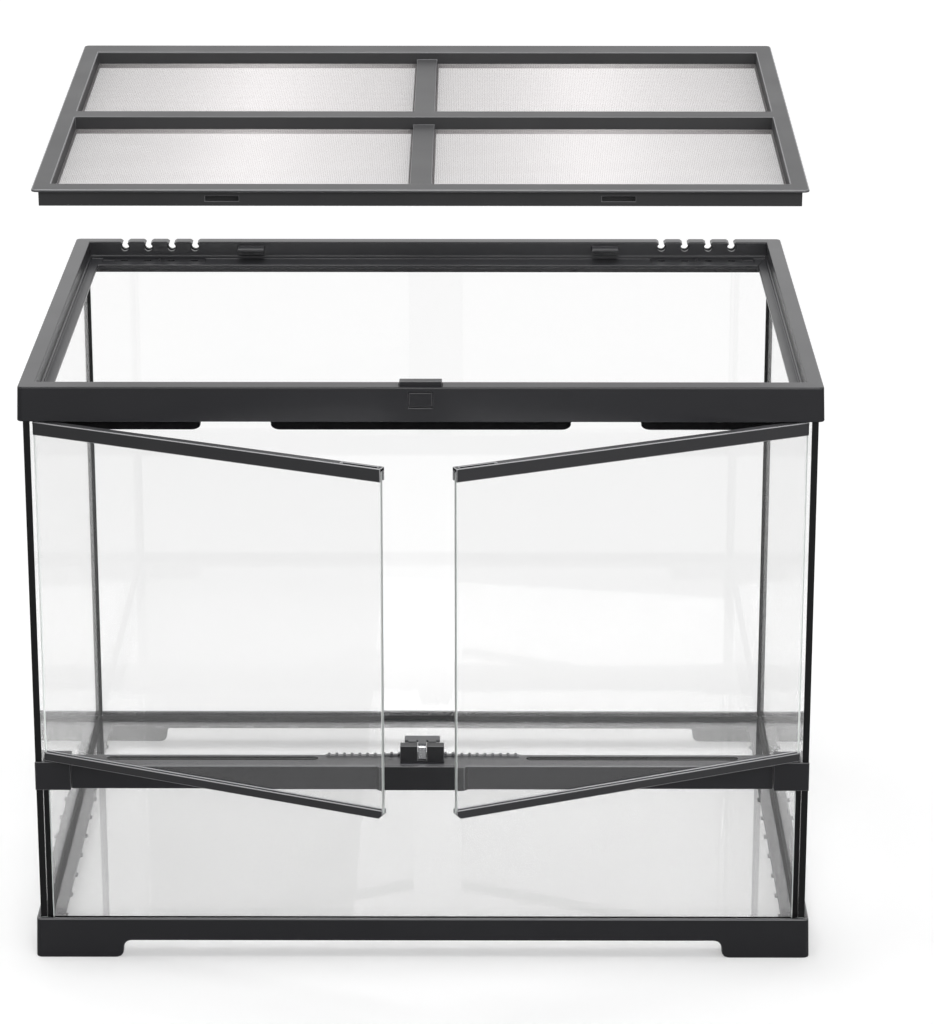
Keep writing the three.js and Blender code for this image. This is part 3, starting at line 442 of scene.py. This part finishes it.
dress("bottom_seal", silicone, SILICONE_ROUNDING)
pane_edge = abs(frame["nodes"]["rear_pane"].data.vertices[0].co.x)
pane_face = min(v.co.y for v in frame["nodes"]["rear_pane"].data.vertices)
for side in ("left", "right"):
    rear_seal = dress(f"{side}_rear_seal", silicone, THIN_ROUNDING)
    for vertex in rear_seal.data.vertices:
        if abs(vertex.co.x) < pane_edge - REAR_FILLET:
            vertex.co.x = math.copysign(pane_edge - REAR_FILLET, vertex.co.x)
        vertex.co.y = max(vertex.co.y, pane_face - REAR_FILLET)
    dress(f"{side}_front_seal", silicone, SILICONE_ROUNDING)
    dress(f"{side}_edge_strip", silicone, THIN_ROUNDING)


# ---- Vent rail ----
# A moulded channel over the low front pane, with two long vent slots in its roof and a comb of
# half-round teeth at its back. A plate with sloping ends is set on the middle of its front.

RAIL_ROUNDING = 0.35 * MM
SLOT_TOP = 0.5 * MM  # below the rail's top, where the walls of its slots begin
FRONT_SKIN = 8 * MM  # from the rail's front to its hollow
REAR_SKIN = 1.9 * MM
END_SKIN = 1 * MM
UNDERSIDE = 0.1 * MM

# A finer spark finish makes small mouldings a little blacker and duller than the frames.
dark_abs = moulded_abs(
    "dark_satin_abs", colour="#1b1b1d", cloud_colour="#202023", roughness=(0.36, 0.46)
)
# Plastic with little pigment is a dull dark grey.
grey_abs = moulded_abs(
    "grey_satin_abs", colour="#47484a", cloud_colour="#4d4e50", roughness=(0.38, 0.5)
)
# Painted shade: plastic deep in a slot, a hollow or under a lip, painted plain black.
unlit_abs = moulded_abs(
    "unlit_black_abs",
    colour="#050506",
    cloud_colour="#08080a",
    roughness=(0.5, 0.6),
    gloss_level=0.1,
)


def darken(piece, chosen):
    """Paints the faces that are chosen by their middle near black, as painted shade on plastic out of the light.
    """
    piece.data.materials.append(unlit_abs)
    for face in piece.data.polygons:
        if chosen(face.center):
            face.material_index = 2


rail_low, rail_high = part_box("vent_rail")
vent_rail = dress("vent_rail", black_abs, RAIL_ROUNDING, edge=edge_highlight_abs)
# Painted shade: the walls of its hollow and slots, and its underside, painted near black.
darken(
    vent_rail,
    lambda middle: middle.z < rail_low[2] + UNDERSIDE
    or middle.z < rail_high[2] - SLOT_TOP
    and rail_low[1] + FRONT_SKIN < middle.y < rail_high[1] - REAR_SKIN
    and abs(middle.x) < rail_high[0] - END_SKIN,
)
dress("vent_comb", grey_abs, THIN_ROUNDING, edge=edge_highlight_abs)
dress("centre_plate", dark_abs, RAIL_ROUNDING, edge=edge_highlight_abs)


# ---- Hinge blocks and bushes ----
# Moulded end blocks close the rail and carry the doors. Each pin turns in a grey acetal bush.

FINE_ROUNDING = 0.15 * MM

for side in ("left", "right"):
    dress(f"{side}_hinge_block", black_abs, RAIL_ROUNDING, edge=edge_highlight_abs)
    dress(f"{side}_lower_bush", grey_abs, FINE_ROUNDING)
    dress(f"{side}_upper_bush", grey_abs, FINE_ROUNDING)


# ---- Top frame ----
# The same satin ABS as the base, in one moulding: rim, seat, hooks, notches and door stop. The
# stop is a lip under the front, in three lengths whose lower corners are well rounded.

LIP_ROUNDING = 7 * MM
LIP_REACH = 290 * MM  # each way from the middle, short of the side walls
SAME_LENGTH = 0.01 * MM
SQUARE_CORNER = math.radians(80)

top_frame = dress("top_frame", black_abs, FRAME_ROUNDING)
build = bmesh.new()
build.from_mesh(top_frame.data)
lip_foot = min(v.co.z for v in build.verts)
corners = [
    edge
    for edge in build.edges
    if all(abs(v.co.z - lip_foot) < SAME_LENGTH for v in edge.verts)
    and abs(edge.verts[0].co.x - edge.verts[1].co.x) < SAME_LENGTH
    and edge.calc_face_angle(0) > SQUARE_CORNER
]
bmesh.ops.bevel(build, geom=corners, offset=LIP_ROUNDING, segments=5, profile=0.5, affect="EDGES")
build.to_mesh(top_frame.data)
build.free()
shade(top_frame.data)
# The door stop lip's faces below the panes' top are painted near black, as painted shade under the front of the
# frame.
pane_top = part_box("left_edge_strip")[1][2]
darken(top_frame, lambda middle: middle.z < pane_top and abs(middle.x) < LIP_REACH)


# ---- Cover ----
# A moulded frame with a cross bar and a lower bar between, round four stainless wire screens.
# It is shown lifted off, tilted a little about a line far in front of the cabinet.

# A duller moulding than the frames, painted a paler grey than they are, as painted light where the lifted cover
# takes more light.
cover_abs = moulded_abs(
    "matt_abs_painted_light",
    colour="#3a3a3b",
    cloud_colour="#444445",
    roughness=(0.36, 0.46),
    gloss_level=0.22,
)
dress("cover_frame", cover_abs, rounding=0.4 * MM, edge=edge_highlight_abs)


# ---- Screens ----
# Plain stainless wire laid both ways and held under the frame. The real mesh is about twice as
# fine, but would be lost in the picture.

WIRE_COLOUR = "#c8c4c4"
WIRE_THICKNESS = 0.22 * MM
WIRE_PITCH = 1.4 * MM
WIRE_SIDES = 6
DRAW_MARKS = 900  # per metre, far coarser than a die leaves, which would not show

# Drawn stainless wire is a soft grey, a little uneven from its die, and a screen of it a haze.
wire_steel, tree = start_material("drawn_stainless_wire")
place = add_node(tree, "ShaderNodeTexCoord").outputs["Object"]
draw_marks = add_node(
    tree, "ShaderNodeTexNoise", {"Vector": place, "Scale": DRAW_MARKS, "Detail": 2}
)
wire_gloss = add_node(
    tree,
    "ShaderNodeMapRange",
    {"Value": draw_marks.outputs["Fac"], "To Min": 0.5, "To Max": 0.7},
)
shader = add_node(
    tree,
    "ShaderNodeBsdfPrincipled",
    {
        "Base Color": linear(WIRE_COLOUR),
        "Metallic": 1,
        "Roughness": wire_gloss.outputs["Result"],
    },
)
add_node(tree, "ShaderNodeOutputMaterial", {"Surface": shader.outputs[0]})


def wire_screen_tree():
    """Two crossing layers of straight wires that fill a rectangle round the origin."""
    tree = bpy.data.node_groups.new("wire_screen", "GeometryNodeTree")
    for name in ("Width", "Depth", "Pitch", "Thickness"):
        tree.interface.new_socket(name, in_out="INPUT", socket_type="NodeSocketFloat")
    tree.interface.new_socket("Geometry", in_out="OUTPUT", socket_type="NodeSocketGeometry")
    given = add_node(tree, "NodeGroupInput").outputs
    radius = add_node(
        tree, "ShaderNodeMath", {0: given["Thickness"], 1: 2}, operation="DIVIDE"
    ).outputs[0]
    layers = []
    # The first layer's wires run along X and step along Y, and the second's are turned round.
    for length, across, height, turn in (
        (given["Width"], given["Depth"], 1, (0, math.pi / 2, 0)),
        (given["Depth"], given["Width"], -1, (math.pi / 2, 0, 0)),
    ):
        room = add_node(
            tree, "ShaderNodeMath", {0: across, 1: given["Thickness"]}, operation="SUBTRACT"
        ).outputs[0]
        gaps = add_node(
            tree, "ShaderNodeMath", {0: room, 1: given["Pitch"]}, operation="DIVIDE"
        ).outputs[0]
        whole = add_node(tree, "ShaderNodeMath", {0: gaps}, operation="FLOOR").outputs[0]
        count = add_node(
            tree, "ShaderNodeMath", {0: whole, 1: 1}, operation="ADD"
        ).outputs[0]
        step = add_node(
            tree, "ShaderNodeMath", {0: room, 1: whole}, operation="DIVIDE"
        ).outputs[0]
        first = add_node(
            tree, "ShaderNodeMath", {0: room, 1: -0.5}, operation="MULTIPLY"
        ).outputs[0]
        level = add_node(
            tree, "ShaderNodeMath", {0: radius, 1: height}, operation="MULTIPLY"
        ).outputs[0]
        axis = "Y" if height > 0 else "X"
        start = add_node(tree, "ShaderNodeCombineXYZ", {axis: first, "Z": level})
        offset = add_node(tree, "ShaderNodeCombineXYZ", {axis: step})
        line = add_node(
            tree,
            "GeometryNodeMeshLine",
            {"Count": count, "Start Location": start.outputs[0], "Offset": offset.outputs[0]},
        )
        wire = add_node(
            tree,
            "GeometryNodeMeshCylinder",
            {"Vertices": WIRE_SIDES, "Radius": radius, "Depth": length},
        )
        smooth = add_node(tree, "GeometryNodeSetShadeSmooth", {0: wire.outputs["Mesh"]})
        layer = add_node(
            tree,
            "GeometryNodeInstanceOnPoints",
            {
                "Points": line.outputs[0],
                "Instance": smooth.outputs[0],
                "Rotation": turn,
            },
        )
        layers.append(layer.outputs[0])
    joined = add_node(tree, "GeometryNodeJoinGeometry")
    for layer in layers:
        tree.links.new(layer, joined.inputs[0])
    real = add_node(tree, "GeometryNodeRealizeInstances", {0: joined.outputs[0]})
    dressed = add_node(
        tree, "GeometryNodeSetMaterial", {"Geometry": real.outputs[0], "Material": wire_steel}
    )
    add_node(tree, "NodeGroupOutput", {0: dressed.outputs[0]})
    return tree


def grown(name, tree, sizes):
    """The plain mesh that a Geometry Nodes tree makes from its named sizes."""
    holder = bpy.data.objects.new(name, bpy.data.meshes.new(name))
    bpy.context.scene.collection.objects.link(holder)
    modifier = holder.modifiers.new(name, "NODES")
    modifier.node_group = tree
    for socket in tree.interface.items_tree:
        if socket.in_out == "INPUT":
            modifier[socket.identifier] = sizes[socket.name]
    depsgraph = bpy.context.evaluated_depsgraph_get()
    mesh = bpy.data.meshes.new_from_object(holder.evaluated_get(depsgraph))
    bpy.data.objects.remove(holder)
    return mesh


lift = next(joint for joint in frame["joints"] if joint["name"] == "cover_lift")
tilt = Matrix.Rotation(math.radians(-lift["range_deg"][0]), 4, "X")
lift_line = Matrix.Translation(lift["pos_m"])
seat_to_lifted = lift_line @ tilt @ lift_line.inverted()


def seated_box(node):
    """The corners of a node of the cover, once it is back on its seat."""
    back = seat_to_lifted.inverted()
    corners = [back @ v.co for v in frame["nodes"][node].data.vertices]
    low = Vector(min(c[i] for c in corners) for i in range(3))
    high = Vector(max(c[i] for c in corners) for i in range(3))
    return low, high


screen_tree = wire_screen_tree()
for screen in ("front_left", "front_right", "rear_left", "rear_right"):
    low, high = seated_box(f"{screen}_screen")
    size = high - low
    mesh = grown(
        f"{screen}_wires",
        screen_tree,
        {
            "Width": size.x,
            "Depth": size.y,
            "Pitch": WIRE_PITCH,
            "Thickness": WIRE_THICKNESS,
        },
    )
    mesh.transform(seat_to_lifted @ Matrix.Translation((low + high) / 2))
    piece = add_piece(f"{screen}_wires", mesh, [wire_steel], "cover")
    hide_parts(f"{screen}_screen")


# ---- Cover latch and inlet sliders ----
# Small mouldings: a press button and tab in one, on a steel pin, and two perforated slides.

STEEL_COLOUR = "#d4d5d8"
ROLLING_MARKS = 700  # per metre, far wider than the real ones, to be seen at all

# Bright rolled stainless steel mirrors its surroundings a little unevenly.
bright_steel, tree = start_material("bright_stainless_steel")
place = add_node(tree, "ShaderNodeTexCoord").outputs["Object"]
rolling = add_node(
    tree, "ShaderNodeTexNoise", {"Vector": place, "Scale": ROLLING_MARKS, "Detail": 3}
)
steel_gloss = add_node(
    tree,
    "ShaderNodeMapRange",
    {"Value": rolling.outputs["Fac"], "To Min": 0.15, "To Max": 0.35},
)
shader = add_node(
    tree,
    "ShaderNodeBsdfPrincipled",
    {
        "Base Color": linear(STEEL_COLOUR),
        "Metallic": 1,
        "Roughness": steel_gloss.outputs["Result"],
    },
)
add_node(tree, "ShaderNodeOutputMaterial", {"Surface": shader.outputs[0]})

dress("cover_latch", black_abs, rounding=0.3 * MM, edge=edge_highlight_abs)
dress("latch_pin", bright_steel, FINE_ROUNDING)
for side in ("left", "right"):
    dress(f"{side}_inlet_slider", dark_abs, THIN_ROUNDING)


# ---- Door lock ----
# Two black cheeks on the rail hold a rocking grey lever on a steel pin, with a bent steel catch.

dress("lock_base", dark_abs, rounding=0.3 * MM, edge=edge_highlight_abs)
dress("lock_pin", bright_steel, FINE_ROUNDING)
dress("lock_lever", grey_abs, rounding=0.25 * MM)
dress("lock_catch", bright_steel, FINE_ROUNDING)


# ---- Doors ----
# Each is a 4 mm pane between a top and a bottom rail, on two steel pins, and stands ajar.

DOOR_RAIL_ROUNDING = 0.6 * MM
POCKET_WALLS = (0.9 * MM, 2.1 * MM)  # below the top of the top rail, where its pocket lies

# Moulded rails, painted paler than the frames as painted light, for the light that runs along them.
door_abs_painted_light = moulded_abs(
    "door_rail_abs_painted_light", colour="#38383a", cloud_colour="#3d3d3f", roughness=(0.28, 0.34)
)
# Their edges are painted paler still, as a painted highlight in pale lines.
door_rail_highlight_abs = moulded_abs(
    "painted_highlight_door_rail_edge", colour="#9a9a9c", cloud_colour="#a4a4a6", roughness=(0.28, 0.34)
)

for side in ("left", "right"):
    dress_pane(f"{side}_door_pane", polished_glass)
    top_rail = dress(f"{side}_door_top_rail", door_abs_painted_light, DOOR_RAIL_ROUNDING, edge=door_rail_highlight_abs)
    rail_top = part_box(f"{side}_door_top_rail")[1][2]
    # The walls of the top rail's pocket are painted near black, as painted shade.
    darken(top_rail, lambda middle: POCKET_WALLS[0] < rail_top - middle.z < POCKET_WALLS[1])
    dress(f"{side}_door_bottom_rail", door_abs_painted_light, DOOR_RAIL_ROUNDING, edge=door_rail_highlight_abs)
    dress(f"{side}_door_upper_pin", bright_steel, FINE_ROUNDING)
    dress(f"{side}_door_lower_pin", bright_steel, FINE_ROUNDING)
